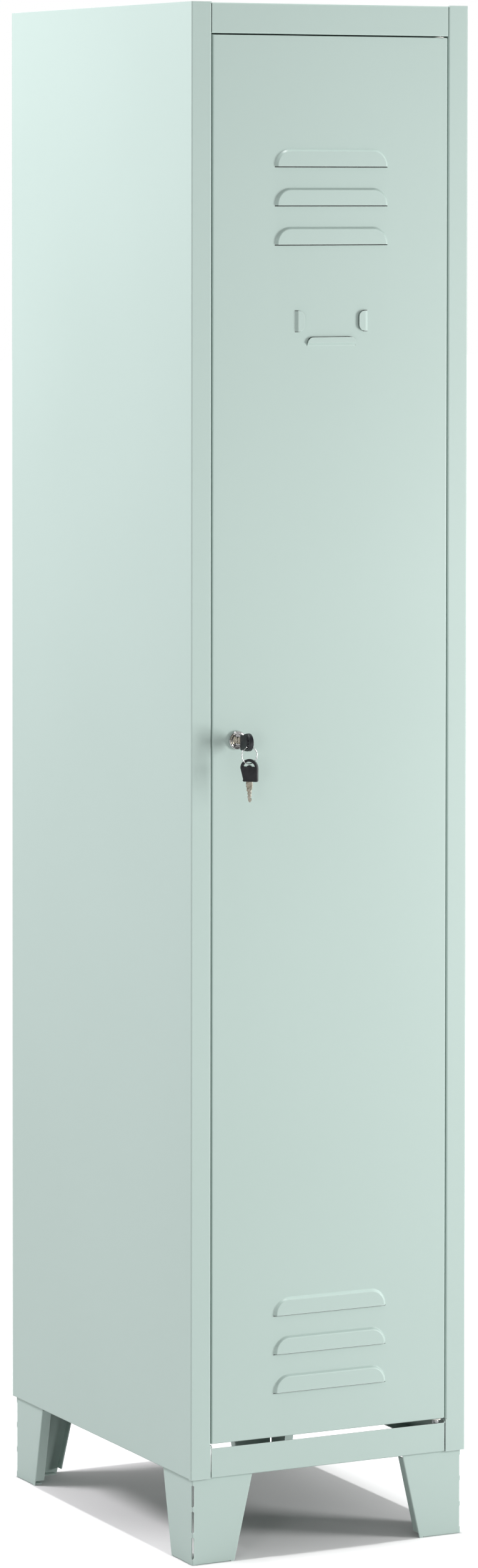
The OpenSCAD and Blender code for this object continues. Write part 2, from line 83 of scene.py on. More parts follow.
CAMERA_PLACE = Vector((-2.9505, FRONT - 5.659, 1.588))
CAMERA_YAW = radians(26.58)
CAMERA_PITCH = radians(-2.122)
CAMERA_ROLL = radians(0.053)
CAMERA_LENS = 126.7
CAMERA_SENSOR = 36.0
CAMERA_SHIFT_Y = -0.2502


def place_camera():
    data = bpy.data.cameras.new("camera")
    data.lens = CAMERA_LENS
    data.sensor_width = CAMERA_SENSOR
    data.sensor_fit = "AUTO"
    data.shift_y = CAMERA_SHIFT_Y
    data.clip_end = 100.0
    camera = bpy.data.objects.new("camera", data)
    turn = Matrix.Rotation(-CAMERA_YAW, 4, "Z")
    tilt = Matrix.Rotation(pi / 2 + CAMERA_PITCH, 4, "X")
    roll = Matrix.Rotation(CAMERA_ROLL, 4, "Z")
    camera.matrix_world = Matrix.Translation(CAMERA_PLACE) @ turn @ tilt @ roll
    scene.collection.objects.link(camera)
    scene.camera = camera


place_camera()

# ---------------------------------------------------------------- shader helpers


def node(tree, kind, **inputs):
    """Adds a node; names in inputs are socket names with underscores for spaces, or node properties."""
    made = tree.nodes.new(kind)
    for name, value in inputs.items():
        if hasattr(made, name) and name not in made.inputs:
            setattr(made, name, value)
            continue
        socket = made.inputs[name.replace("_", " ")]
        if isinstance(value, bpy.types.NodeSocket):
            tree.links.new(value, socket)
        else:
            socket.default_value = value
    return made


def new_group(name, inputs, outputs):
    tree = bpy.data.node_groups.new(name, "ShaderNodeTree")
    for label, value in inputs.items():
        socket = tree.interface.new_socket(label, in_out="INPUT", socket_type="NodeSocketFloat")
        socket.default_value = value
    for label, kind in outputs.items():
        tree.interface.new_socket(label, in_out="OUTPUT", socket_type=kind)
    return tree, tree.nodes.new("NodeGroupInput"), tree.nodes.new("NodeGroupOutput")


def grain_group():
    """Fine grain on a gently uneven surface: a normal, and a mottle value around one half."""
    tree, given, result = new_group(
        "surface_grain",
        {"Grain Scale": 1400.0, "Grain Height": 0.02, "Wave Scale": 5.0, "Wave Height": 0.2},
        {"Normal": "NodeSocketVector", "Mottle": "NodeSocketFloat"},
    )
    place = node(tree, "ShaderNodeTexCoord").outputs["Object"]
    wave = node(tree, "ShaderNodeTexNoise", Vector=place, Scale=given.outputs["Wave Scale"], Detail=1.0)
    grain = node(tree, "ShaderNodeTexNoise", Vector=place, Scale=given.outputs["Grain Scale"], Detail=3.0)
    broad = node(tree, "ShaderNodeBump", Strength=given.outputs["Wave Height"], Distance=0.002,
                 Height=wave.outputs["Fac"])
    fine = node(tree, "ShaderNodeBump", Strength=given.outputs["Grain Height"], Distance=0.0002,
                Height=grain.outputs["Fac"], Normal=broad.outputs["Normal"])
    tree.links.new(fine.outputs["Normal"], result.inputs["Normal"])
    tree.links.new(wave.outputs["Fac"], result.inputs["Mottle"])
    return tree


def wear_and_highlight_group():
    """Mask that is 1 on a convex edge and 0 on the flat, broken up by noise; it lightens edges as a painted
    highlight, and on the key blades also as wear.
    """
    tree, given, result = new_group(
        "edge_wear_and_painted_highlight",
        {"Radius": 0.0008, "Break Up": 0.3, "Gain": 3.0},
        {"Mask": "NodeSocketFloat"},
    )
    rounded_normal = node(tree, "ShaderNodeBevel", samples=4, Radius=given.outputs["Radius"])
    flat = node(tree, "ShaderNodeNewGeometry").outputs["Normal"]
    bend = node(tree, "ShaderNodeVectorMath", operation="DOT_PRODUCT")
    tree.links.new(rounded_normal.outputs[0], bend.inputs[0])
    tree.links.new(flat, bend.inputs[1])
    away = node(tree, "ShaderNodeMath", operation="SUBTRACT")
    away.inputs[0].default_value = 1.0
    tree.links.new(bend.outputs["Value"], away.inputs[1])
    place = node(tree, "ShaderNodeTexCoord").outputs["Object"]
    noise = node(tree, "ShaderNodeTexNoise", Vector=place, Scale=90.0, Detail=4.0)
    broken = node(tree, "ShaderNodeMath", operation="MULTIPLY_ADD")
    tree.links.new(noise.outputs["Fac"], broken.inputs[0])
    tree.links.new(given.outputs["Break Up"], broken.inputs[1])
    broken.inputs[2].default_value = 0.7
    strong = node(tree, "ShaderNodeMath", operation="MULTIPLY")
    tree.links.new(away.outputs[0], strong.inputs[0])
    tree.links.new(given.outputs["Gain"], strong.inputs[1])
    mask = node(tree, "ShaderNodeMath", operation="MULTIPLY", use_clamp=True)
    tree.links.new(strong.outputs[0], mask.inputs[0])
    tree.links.new(broken.outputs[0], mask.inputs[1])
    tree.links.new(mask.outputs[0], result.inputs["Mask"])
    return tree


GRAIN = grain_group()
EDGES = wear_and_highlight_group()


def place_group(tree, group, **values):
    made = tree.nodes.new("ShaderNodeGroup")
    made.node_tree = group
    for name, value in values.items():
        made.inputs[name.replace("_", " ")].default_value = value
    return made


def mix_colour(tree, factor, first, second):
    """Colour mix of two plain colours, or of sockets."""
    made = tree.nodes.new("ShaderNodeMix")
    made.data_type = "RGBA"
    tree.links.new(factor, made.inputs["Factor"])
    for socket, value in ((made.inputs[6], first), (made.inputs[7], second)):
        if isinstance(value, bpy.types.NodeSocket):
            tree.links.new(value, socket)
        else:
            socket.default_value = (*value, 1.0)
    return made.outputs[2]


def spread(tree, value, low, high):
    """Maps a value of 0 to 1 on to low to high."""
    made = node(tree, "ShaderNodeMapRange", Value=value, From_Min=0.25, From_Max=0.75, To_Min=low, To_Max=high)
    return made.outputs["Result"]


def finish_material(name, dark, light, edge, rough, metallic=0.0, grain=None, wear_and_highlight=None):
    """Principled finish: two tones of mottle, an edge tone painted on as a highlight along convex edges (also
    wear on the key blades), and a roughness range.
    """
    material = bpy.data.materials.new(name)
    material.use_nodes = True
    tree = material.node_tree
    shader = tree.nodes["Principled BSDF"]
    skin = place_group(tree, GRAIN, **(grain or {}))
    wear_and_highlight_mask = place_group(tree, EDGES, **(wear_and_highlight or {}))
    body = mix_colour(tree, spread(tree, skin.outputs["Mottle"], 0.0, 1.0), dark, light)
    # Edge tone over the mottle: a painted highlight along the edges, on the key blades also wear.
    colour = mix_colour(tree, wear_and_highlight_mask.outputs["Mask"], body, edge)
    tree.links.new(colour, shader.inputs["Base Color"])
    tree.links.new(spread(tree, skin.outputs["Mottle"], *rough), shader.inputs["Roughness"])
    tree.links.new(skin.outputs["Normal"], shader.inputs["Normal"])
    shader.inputs["Metallic"].default_value = metallic
    return material


# Each edge tone below is lighter than its finish: a painted highlight along convex edges and folds; on the worn
# nickel blades it is also wear.
PAINT = finish_material(
    "powder_coat", dark=(0.491, 0.612, 0.568), light=(0.506, 0.628, 0.585), edge=(0.74, 0.84, 0.80),
    rough=(0.36, 0.40), wear_and_highlight={"Radius": 0.0010, "Gain": 4.0},
    grain={"Grain_Scale": 1500.0, "Grain_Height": 0.06, "Wave_Scale": 3.0, "Wave_Height": 0.05},
)
CHROME = finish_material(
    "bright_chrome", dark=(0.66, 0.66, 0.66), light=(0.74, 0.74, 0.74), edge=(0.92, 0.91, 0.88),
    rough=(0.05, 0.10), metallic=1.0, grain={"Grain_Scale": 900.0, "Grain_Height": 0.02, "Wave_Scale": 40.0},
    wear_and_highlight={"Radius": 0.0003, "Gain": 1.0},
)
ZINC = finish_material(
    "zinc_plate", dark=(0.55, 0.57, 0.58), light=(0.66, 0.68, 0.68), edge=(0.80, 0.80, 0.78),
    rough=(0.24, 0.38), metallic=1.0, grain={"Grain_Scale": 600.0, "Grain_Height": 0.08, "Wave_Scale": 60.0},
    wear_and_highlight={"Radius": 0.0004, "Gain": 1.5},
)
KEY_METAL = finish_material(
    "worn_nickel", dark=(0.52, 0.47, 0.36), light=(0.68, 0.65, 0.57), edge=(0.86, 0.78, 0.58),
    rough=(0.20, 0.34), metallic=1.0, grain={"Grain_Scale": 900.0, "Grain_Height": 0.10, "Wave_Scale": 220.0},
    wear_and_highlight={"Radius": 0.0003, "Gain": 2.5},
)
KEY_PLASTIC = finish_material(
    "key_plastic", dark=(0.010, 0.011, 0.014), light=(0.016, 0.017, 0.021), edge=(0.06, 0.065, 0.075),
    rough=(0.30, 0.42), grain={"Grain_Scale": 2200.0, "Grain_Height": 0.15, "Wave_Scale": 160.0},
    wear_and_highlight={"Radius": 0.0005, "Gain": 0.8},
)
NYLON = finish_material(
    "natural_nylon", dark=(0.72, 0.72, 0.67), light=(0.80, 0.80, 0.75), edge=(0.86, 0.86, 0.82),
    rough=(0.38, 0.50), grain={"Grain_Scale": 1500.0, "Grain_Height": 0.08, "Wave_Scale": 120.0},
)
RUBBER = finish_material(
    "buffer_rubber", dark=(0.030, 0.030, 0.032), light=(0.045, 0.045, 0.048), edge=(0.08, 0.08, 0.08),
    rough=(0.70, 0.85), grain={"Grain_Scale": 1800.0, "Grain_Height": 0.3, "Wave_Scale": 200.0},
)

# ---------------------------------------------------------------- mesh helpers


def rounded(points, radii, steps):
    """Closed outline in X and Z whose corners are rounded, each by its own radius."""
    loop = []
    count = len(points)
    for i, (point, radius) in enumerate(zip(points, radii)):
        corner = Vector(point)
        if radius <= 0:
            loop.append(corner)
            continue
        back = (Vector(points[i - 1]) - corner).normalized()
        ahead = (Vector(points[(i + 1) % count]) - corner).normalized()
        half = back.angle(ahead) / 2
        centre = corner + (back + ahead).normalized() * (radius / sin(half))
        start = corner + back * (radius / tan(half)) - centre
        end = corner + ahead * (radius / tan(half)) - centre
        side = 1 if start.cross(end) > 0 else -1
        for k in range(steps + 1):
            loop.append(centre + Matrix.Rotation(side * (pi - 2 * half) * k / steps, 2) @ start)
    return loop


def circle_loop(x, z, radius, steps):
    return [Vector((x + radius * cos(2 * pi * k / steps), z + radius * sin(2 * pi * k / steps)))
            for k in range(steps)]


def add_loop(bm, loop):
    verts = [bm.verts.new((p[0], 0.0, p[1])) for p in loop]
    return [bm.edges.new(pair) for pair in zip(verts, verts[1:] + verts[:1])]


def fill(bm, edges):
    """Fills an outline and its holes with faces that look towards -Y."""
    made = bmesh.ops.triangle_fill(bm, use_beauty=True, use_dissolve=False, edges=edges, normal=(0, -1, 0))
    faces = [f for f in made["geom"] if isinstance(f, bmesh.types.BMFace)]
    for face in faces:
        face.normal_update()
    wrong = [f for f in faces if f.normal.y > 0]
    bmesh.ops.reverse_faces(bm, faces=wrong)
    return faces


def blank(outer, holes=()):
    """Flat sheet in the plane of X and Z, facing -Y."""
    bm = bmesh.new()
    edges = []
    for loop in (outer, *holes):
        edges += add_loop(bm, loop)
    fill(bm, edges)
    return bm


def arc_length(radius):
    return radius * pi / 2


def flat_flange(width, radius):
    """Length on the flat sheet, from where the bend starts, of a flange that is this wide once bent."""
    return arc_length(radius) + width - radius


def fold(bm, at, across, toward, radius, steps=4, only=None):
    """Bends everything past the line at `at` through a right angle, as a press brake does."""
    at, across, toward = Vector(at), Vector(across).normalized(), Vector(toward)
    arc = arc_length(radius)
    for k in range(steps + 1):
        everything = bm.verts[:] + bm.edges[:] + bm.faces[:]
        bmesh.ops.bisect_plane(bm, geom=everything, dist=EPS, plane_co=at + across * (arc * k / steps),
                               plane_no=across)
    for vert in bm.verts:
        run = (vert.co - at).dot(across)
        if run <= EPS or (only and not only(vert.co)):
            continue
        lift = (vert.co - at).dot(toward)
        turn = min(run / radius, pi / 2)
        past = max(run - arc, 0.0)
        foot = vert.co - across * run - toward * lift
        vert.co = (foot + across * ((radius - lift) * sin(turn) + past * cos(turn))
                   + toward * (radius - (radius - lift) * cos(turn) + past * sin(turn)))


def eased(height, along):
    """Height reached at `along`, from 0 to 1, of a smooth rise that starts and ends level."""
    return height * along * along * (3 - 2 * along)


def move(bm, x=0.0, y=0.0, z=0.0):
    bmesh.ops.translate(bm, verts=bm.verts[:], vec=(x, y, z))


def mirror_across(bm, axis):
    """Mirrors the whole mesh and puts its faces the right way round again."""
    scale = [1, 1, 1]
    scale["xyz".index(axis)] = -1
    bmesh.ops.scale(bm, verts=bm.verts[:], vec=scale)
    bmesh.ops.reverse_faces(bm, faces=bm.faces[:])


def add_piece(name, bm, material, body, nodes, sheet=0.0, edge=0.0, smooth=35.0):
    """Turns a bmesh into a finished piece on its body, standing for CAD nodes."""
    bmesh.ops.remove_doubles(bm, verts=bm.verts[:], dist=EPS)
    mesh = bpy.data.meshes.new(name)
    bm.to_mesh(mesh)
    bm.free()
    mesh.materials.append(material)
    mesh.shade_smooth()
    mesh.set_sharp_from_angle(angle=radians(smooth))
    piece = bpy.data.objects.new(name, mesh)
    scene.collection.objects.link(piece)
    if sheet:
        wall = piece.modifiers.new("sheet", "SOLIDIFY")
        wall.thickness = sheet
        wall.offset = -1.0
    if edge:
        soft = piece.modifiers.new("edges", "BEVEL")
        soft.width = edge
        soft.segments = 2
        soft.limit_method = "ANGLE"
        soft.angle_limit = radians(50)
        soft.harden_normals = True
    even = piece.modifiers.new("even", "WEIGHTED_NORMAL")
    even.weight = 100
    even.keep_sharp = True
    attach(piece, body)
    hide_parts(*nodes)
    return piece


# ---------------------------------------------------------------- cabinet panels

POST_BEND = 0.0018
RAIL_BEND = 0.0015
SIDE_FLANGE = 0.025
RELIEF = 0.0004
TOP_SEAM = 0.0008
BOTTOM_SEAM = 0.0015
FOLD_OVER_FLOOR = 0.0005
FOLD_UNDER_TOP = 0.0003
NOTCH_FAR = 0.004
NOTCH_NEAR = 0.003
RELIEF_HOLE_R = 0.0008
RELIEF_HOLE_IN = 0.0012
RELIEF_HOLE_DOWN = 0.0032
FINE_EDGE = 0.0002
SOFT_EDGE = 0.00025


def side_sheet(rebate):
    """Left side: wall, post face and the folds behind it, laid out flat and then bent."""
    bend = POST_BEND
    depth = REAR - FRONT
    face_l = -HALF_W + bend
    face_r = -OPENING_X - bend
    wall_l = face_l - arc_length(bend) - (depth - 2 * bend)
    flange_l = wall_l - flat_flange(SIDE_FLANGE, bend)
    turn_back = arc_length(bend) + (REBATE_Y - FRONT + SHEET - bend)
    inner = face_r + turn_back
    if rebate:
        inner = face_r + turn_back - bend + flat_flange(rebate, bend)
    low, high = FLOOR + FOLD_OVER_FLOOR, TOP_SHEET - SHEET - FOLD_UNDER_TOP
    drop = BODY_BOTTOM - flat_flange(SIDE_FLANGE, bend) + bend
    wall_r = face_l - arc_length(bend)
    outline = [
        (flange_l, BODY_BOTTOM), (wall_l - RELIEF, BODY_BOTTOM),
        (wall_l - RELIEF, BODY_BOTTOM + bend), (wall_l + RELIEF, BODY_BOTTOM + bend),
        (wall_l + RELIEF, drop), (wall_r - NOTCH_FAR, drop),
        (wall_r - NOTCH_FAR, BODY_BOTTOM + bend), (wall_r - NOTCH_NEAR, BODY_BOTTOM + bend),
        (wall_r - NOTCH_NEAR, BODY_BOTTOM), (face_r + bend, BODY_BOTTOM),
        (face_r + bend, low - RELIEF), (face_r, low - RELIEF), (face_r, low), (inner, low),
        (inner, high), (face_r, high), (face_r, high + RELIEF), (face_r + bend, high + RELIEF),
        (face_r + bend, TOP), (flange_l, TOP),
    ]
    notch_x = wall_r - (NOTCH_FAR + NOTCH_NEAR) / 2

    def below(co):
        return co.z < BODY_BOTTOM + bend - EPS and wall_l < co.x < notch_x

    def behind(co):
        return low - EPS < co.z < high + EPS and co.y < SIDE_FLANGE

    bm = blank(outline)
    fold(bm, (0, 0, BODY_BOTTOM + bend), (0, 0, -1), (0, 1, 0), bend, only=below)
    fold(bm, (wall_l, 0, 0), (-1, 0, 0), (0, 1, 0), bend)
    fold(bm, (face_l, 0, 0), (-1, 0, 0), (0, 1, 0), bend)
    if rebate:
        fold(bm, (face_r + turn_back - bend, 0, 0), (1, 0, 0), (0, -1, 0), bend, only=behind)
    fold(bm, (face_r, 0, 0), (1, 0, 0), (0, 1, 0), bend, only=behind)
    move(bm, y=FRONT)
    return bm


def build_sides():
    rebate = side_hi.x + OPENING_X
    add_piece("left_side", side_sheet(rebate), PAINT, "cabinet", ["left_side_panel"],
              sheet=SHEET, edge=SOFT_EDGE)
    right = side_sheet(0.0)
    mirror_across(right, "x")
    add_piece("right_side", right, PAINT, "cabinet", ["right_side_panel"],
              sheet=SHEET, edge=SOFT_EDGE)


def build_top():
    bend = RAIL_BEND
    z1 = TOP_SHEET - bend
    z0 = LINTEL + bend
    run = z1 + arc_length(bend) - bend
    deep = run + (top_hi.y - RAIL_Y)
    step = run + (FRONT + SHEET - RAIL_Y) + RELIEF
    back = z0 - flat_flange(REBATE_Y - RAIL_Y, bend)
    wide = HALF_W - SHEET
    end = OPENING_X - TOP_SEAM
    outline = [
        (-end, back), (end, back), (end, step), (wide, step),
        (wide, deep), (-wide, deep), (-wide, step), (-end, step),
    ]
    bm = blank(outline)
    fold(bm, (0, 0, z1), (0, 0, 1), (0, 1, 0), bend)
    fold(bm, (0, 0, z0), (0, 0, -1), (0, 1, 0), bend)
    move(bm, y=RAIL_Y)
    add_piece("top", bm, PAINT, "cabinet", ["top_panel"], sheet=SHEET, edge=FINE_EDGE)


def build_bottom():
    bend = RAIL_BEND
    z1 = FLOOR - bend
    z0 = BODY_BOTTOM + bend
    run = z1 + arc_length(bend) - bend
    deep = run + (back_lo.y - RAIL_Y)
    step = run + (REBATE_Y + SHEET - RAIL_Y) + RELIEF
    back = z0 - flat_flange(SIDE_FLANGE, bend)
    wide = HALF_W - SHEET
    end = OPENING_X - BOTTOM_SEAM
    outline = [
        (-end, back), (end, back), (end, step), (wide, step),
        (wide, deep), (-wide, deep), (-wide, step), (-end, step),
    ]
    # Known fault: at this BOTTOM_SEAM the holes cross the outline, and the sheet behind the rail isn't filled.
    hole_x, hole_z = OPENING_X - RELIEF_HOLE_IN, FLOOR - RELIEF_HOLE_DOWN
    holes = [circle_loop(side * hole_x, hole_z, RELIEF_HOLE_R, 10) for side in (-1, 1)]
    bm = blank(outline, holes)
    fold(bm, (0, 0, z1), (0, 0, 1), (0, 1, 0), bend)
    fold(bm, (0, 0, z0), (0, 0, -1), (0, 1, 0), bend)
    move(bm, y=RAIL_Y)
    add_piece("bottom", bm, PAINT, "cabinet", ["bottom_panel"], sheet=SHEET, edge=FINE_EDGE)


def build_back():
    wide = HALF_W - SHEET
    low, high = back_lo.z, back_hi.z
    outline = [(-wide, low), (wide, low), (wide, high), (-wide, high)]
    bm = blank(outline)
    mirror_across(bm, "y")
    move(bm, y=back_hi.y)
    add_piece("back", bm, PAINT, "cabinet", ["back_panel"], sheet=SHEET, edge=FINE_EDGE)


def build_shelf():
    bend = RAIL_BEND
    wide = shelf_hi.x
    z1 = shelf_hi.z - bend
    edge = shelf_hi.z - shelf_lo.z
    run = z1 + arc_length(bend) - bend
    deep = run + (shelf_hi.y - shelf_lo.y) - bend
    low = z1 - (edge - bend)
    far = deep + flat_flange(edge, bend)
    bm = blank([(-wide, low), (wide, low), (wide, far), (-wide, far)])
    fold(bm, (0, 0, deep), (0, 0, 1), (0, 1, 0), bend)
    fold(bm, (0, 0, z1), (0, 0, 1), (0, 1, 0), bend)
    move(bm, y=shelf_lo.y)
    add_piece("shelf", bm, PAINT, "cabinet", ["hat_shelf"], sheet=SHEET, edge=FINE_EDGE)


build_sides()
build_top()
build_bottom()
build_back()
build_shelf()

# ---------------------------------------------------------------- legs

LEG_H = leg_hi.z
LEG_TOP_W = leg_hi.x - leg_lo.x
LEG_FOOT_W = 0.055
LEG_FOLD_W = 0.012
LEG_BEND = 0.0016
LEG_EDGE_BEND = 0.0014
LEG_SLOT_W = 0.0046
LEG_SLOT_L = 0.026
LEG_SLOT_PITCH = 0.0303
LEG_NOTCH = 0.006
LEG_NOTCH_W = 0.001
LEG_CORNER_GAP = 0.004
LEG_HEAD_GAP = 0.0035


def leg_sheet():
    """Corner leg with its corner at the origin and its faces along +X and +Y."""
    extra = arc_length(LEG_BEND) / 2 - LEG_BEND
    slant = Vector((LEG_TOP_W - LEG_FOOT_W, LEG_H)).normalized()
    outward = Vector((slant.y, -slant.x))
    foot = Vector((LEG_FOOT_W + extra, 0))
    head = Vector((LEG_TOP_W + extra, LEG_H))
    flap = outward * flat_flange(LEG_FOLD_W, LEG_EDGE_BEND)
    low = foot + slant * (LEG_NOTCH / slant.y) - outward * LEG_EDGE_BEND
    high = head - slant * LEG_HEAD_GAP - outward * LEG_EDGE_BEND
    under = flat_flange(LEG_FOLD_W, LEG_EDGE_BEND) - LEG_EDGE_BEND
    near, far = LEG_CORNER_GAP, LEG_FOOT_W + extra - LEG_NOTCH
    edge_in = LEG_EDGE_BEND
    half = [
        Vector((near, 0)), Vector((near, -under)), Vector((far, -under)), Vector((far, edge_in)),
        Vector((far + LEG_NOTCH_W, edge_in)), Vector((far + LEG_NOTCH_W, 0)), foot,
        low + outward * LEG_EDGE_BEND, low, low + flap, high + flap, high,
        high + outward * LEG_EDGE_BEND, head,
    ]
    other = [Vector((-p.x, p.y)) for p in reversed(half)]
    slots = []
    for i in (-1, 0, 1):
        z = LEG_H / 2 + i * LEG_SLOT_PITCH
        w, h = LEG_SLOT_W / 2, LEG_SLOT_L / 2
        slots.append(rounded([(-w, z - h), (w, z - h), (w, z + h), (-w, z + h)], [w * 0.98] * 4, 4))

    def foot_flange(co):
        return near - EPS < abs(co.x) < far + EPS and co.y < EPS

    bm = blank(half + other, slots)
    for side in (1, -1):
        start = Vector((side * (foot.x - outward.x * LEG_EDGE_BEND), 0, -outward.y * LEG_EDGE_BEND))
        across = Vector((side * outward.x, 0, outward.y))
        fold(bm, start, across, (0, 1, 0), LEG_EDGE_BEND)
    fold(bm, (0, 0, edge_in), (0, 0, -1), (0, 1, 0), LEG_EDGE_BEND, only=foot_flange)
    fold(bm, (arc_length(LEG_BEND) / 2, 0, 0), (-1, 0, 0), (0, 1, 0), LEG_BEND, steps=6)
    move(bm, x=LEG_BEND - arc_length(LEG_BEND) / 2)
    return bm


def build_legs():
    corner = Vector((leg_lo.x, leg_lo.y, 0))
    rear_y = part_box("leg_rear_left")[1].y
    for name, flip_x, flip_y in (("leg_front_left", False, False), ("leg_front_right", True, False),
                                 ("leg_rear_left", False, True), ("leg_rear_right", True, True)):
        bm = leg_sheet()
        if flip_y:
            mirror_across(bm, "y")
            move(bm, x=corner.x, y=rear_y)
        else:
            move(bm, x=corner.x, y=corner.y)
        if flip_x:
            mirror_across(bm, "x")
        add_piece(name.replace("leg_", "corner_leg_"), bm, PAINT, "cabinet", [name],
                  sheet=LEG_SHEET, edge=SOFT_EDGE)


build_legs()

# ---------------------------------------------------------------- door

LOUVRE_W = 0.147
LOUVRE_H = 0.0208
LOUVRE_R = 0.0198
LOUVRE_STEPS = 12
SHOULDER = 0.0037
SHOULDER_STEPS = 8
LOUVRE_RAISE = 0.0033
LOUVRE_PITCH = 0.045
LOUVRE_SLOT = 0.0011
UPPER_LOUVRE_Z = 1.522
LOWER_LOUVRE_Z = 0.1916
DOOR_RETURN = 0.015
DOOR_RIM = 0.012
DOOR_FOLD_R = 0.0016
HINGE_CORNER_R = 0.0020
LOCK_HOLE_R = 0.0092


def louvre_bottoms():
    return [low + i * LOUVRE_PITCH for low in (UPPER_LOUVRE_Z, LOWER_LOUVRE_Z) for i in range(3)]


def louvre_loop(z):
    """Outline of a louvre and its mirror image below z, where its straight edge will be cut."""
    w = LOUVRE_W / 2
    points = [(-w, z - LOUVRE_H), (w, z - LOUVRE_H), (w, z + LOUVRE_H), (-w, z + LOUVRE_H)]
    return rounded(points, (LOUVRE_R,) * 4, LOUVRE_STEPS)


def louvre_hole(z):
    """Hole behind a louvre, with a narrow slot open below the louvre's straight edge."""
    w = LOUVRE_W / 2
    points = [(-w, z - LOUVRE_SLOT), (w, z - LOUVRE_SLOT), (w, z),
              (w, z + LOUVRE_H), (-w, z + LOUVRE_H), (-w, z)]
    return rounded(points, (0, 0, 0, LOUVRE_R, LOUVRE_R, 0), LOUVRE_STEPS)


def press_louvre(bm, z):
    """Raised louvre: rings stepped in and forward through a smooth shoulder, then cut off at its open edge."""
    part = bmesh.new()
    face = fill_ngon(part, add_loop(part, louvre_loop(z)))
    done = 0.0
    for k in range(1, SHOULDER_STEPS + 1):
        along = k / SHOULDER_STEPS
        height = eased(LOUVRE_RAISE, along)
        bmesh.ops.inset_individual(part, faces=[face], thickness=SHOULDER / SHOULDER_STEPS,
                                   depth=height - done, use_even_offset=True)
        done = height
    everything = part.verts[:] + part.edges[:] + part.faces[:]
    bmesh.ops.bisect_plane(part, geom=everything, dist=EPS, plane_co=(0, 0, z), plane_no=(0, 0, 1),
                           clear_inner=True)
    join(bm, part)


def fill_ngon(bm, edges):
    face = bmesh.ops.contextual_create(bm, geom=edges)["faces"][0]
    face.normal_update()
    if face.normal.y > 0:
        face.normal_flip()
    return face


TAB_RAISE = 0.0029
TAB_RUN = 0.0038
TAB_R = 0.0082
TAB_GAP = 0.0007
TAB_STEPS = 8
TABS = (
    # x and z of the middle of the straight edge, width along it, height from it, turn
    (-0.0474, 1.4335, 0.0250, 0.0124, -pi / 2),
    (0.0474, 1.4335, 0.0250, 0.0124, pi / 2),
    (0.0000, 1.4050, 0.0640, 0.0106, 0.0),
)


def tab_outline(x, z, width, height, turn, inset=0.0):
    """Tab outline with its straight edge through (x, z) and its two far corners rounded."""
    w = width / 2 - inset
    points = [(-w, 0), (w, 0), (w, height - inset), (-w, height - inset)]
    loop = rounded(points, (0, 0, TAB_R - inset, TAB_R - inset), TAB_STEPS)
    spin = Matrix.Rotation(turn, 2)
    return [spin @ p + Vector((x, z)) for p in loop]


def lift_tab(bm, x, z, width, height, turn):
    """Flap cut free along its round edge and set forward through a slope at its straight edge."""
    part = bmesh.new()
    fill_ngon(part, add_loop(part, tab_outline(x, z, width, height, turn, TAB_GAP)))
    up = Matrix.Rotation(turn, 2) @ Vector((0, 1))
    upward = Vector((up.x, 0, up.y))
    foot = Vector((x, 0, z))
    for k in range(1, TAB_STEPS + 1):
        everything = part.verts[:] + part.edges[:] + part.faces[:]
        bmesh.ops.bisect_plane(part, geom=everything, dist=EPS, plane_no=upward,
                               plane_co=foot + upward * (TAB_RUN * k / TAB_STEPS))
    for vert in part.verts:
        along = min(max((vert.co - foot).dot(upward) / TAB_RUN, 0.0), 1.0)
        vert.co.y -= eased(TAB_RAISE, along)
    join(bm, part)


def join(bm, part):
    mesh = bpy.data.meshes.new("part")
    part.to_mesh(mesh)
    part.free()
    bm.from_mesh(mesh)
    bpy.data.meshes.remove(mesh)


def door_bmesh():
    bm = bmesh.new()
    outer = [(-DOOR_X, DOOR_Z0), (DOOR_X, DOOR_Z0), (DOOR_X, DOOR_Z1), (-DOOR_X, DOOR_Z1)]
    sheet = fill_ngon(bm, add_loop(bm, outer))
    bmesh.ops.inset_individual(bm, faces=[sheet], thickness=DOOR_RIM, use_even_offset=True)
    edges = list(sheet.edges)
    bmesh.ops.delete(bm, geom=[sheet], context="FACES_ONLY")
    for z in louvre_bottoms():
        edges += add_loop(bm, louvre_hole(z))
    for tab in TABS:
        edges += add_loop(bm, tab_outline(*tab))
    edges += add_loop(bm, circle_loop(LOCK_X, LOCK_Z, LOCK_HOLE_R, 32))
    fill(bm, edges)

    rim_edges = [e for e in bm.edges if e.is_boundary and on_outer_rim(e)]
    turned = extrude_edges(bm, rim_edges, Vector((0, DOOR_BACK - FRONT, 0)))
    sides = [e for e in turned if abs(e.verts[0].co.x - e.verts[1].co.x) < EPS]
    for edge in sides:
        inward = -DOOR_RETURN if edge.verts[0].co.x > 0 else DOOR_RETURN
        extrude_edges(bm, [edge], Vector((inward, 0, 0)))
    round_door_edges(bm)

    for z in louvre_bottoms():
        press_louvre(bm, z)
    for tab in TABS:
        lift_tab(bm, *tab)
    move(bm, y=FRONT)
    return bm


def on_outer_rim(edge):
    def outside(co):
        return abs(abs(co.x) - DOOR_X) < EPS or min(abs(co.z - DOOR_Z0), abs(co.z - DOOR_Z1)) < EPS

    return outside(edge.verts[0].co) and outside(edge.verts[1].co)


def extrude_edges(bm, edges, by):
    made = bmesh.ops.extrude_edge_only(bm, edges=edges)["geom"]
    verts = [g for g in made if isinstance(g, bmesh.types.BMVert)]
    bmesh.ops.translate(bm, verts=verts, vec=by)
    grown = [g for g in made if isinstance(g, bmesh.types.BMEdge)]
    return [e for e in grown if e.verts[0] in verts and e.verts[1] in verts]


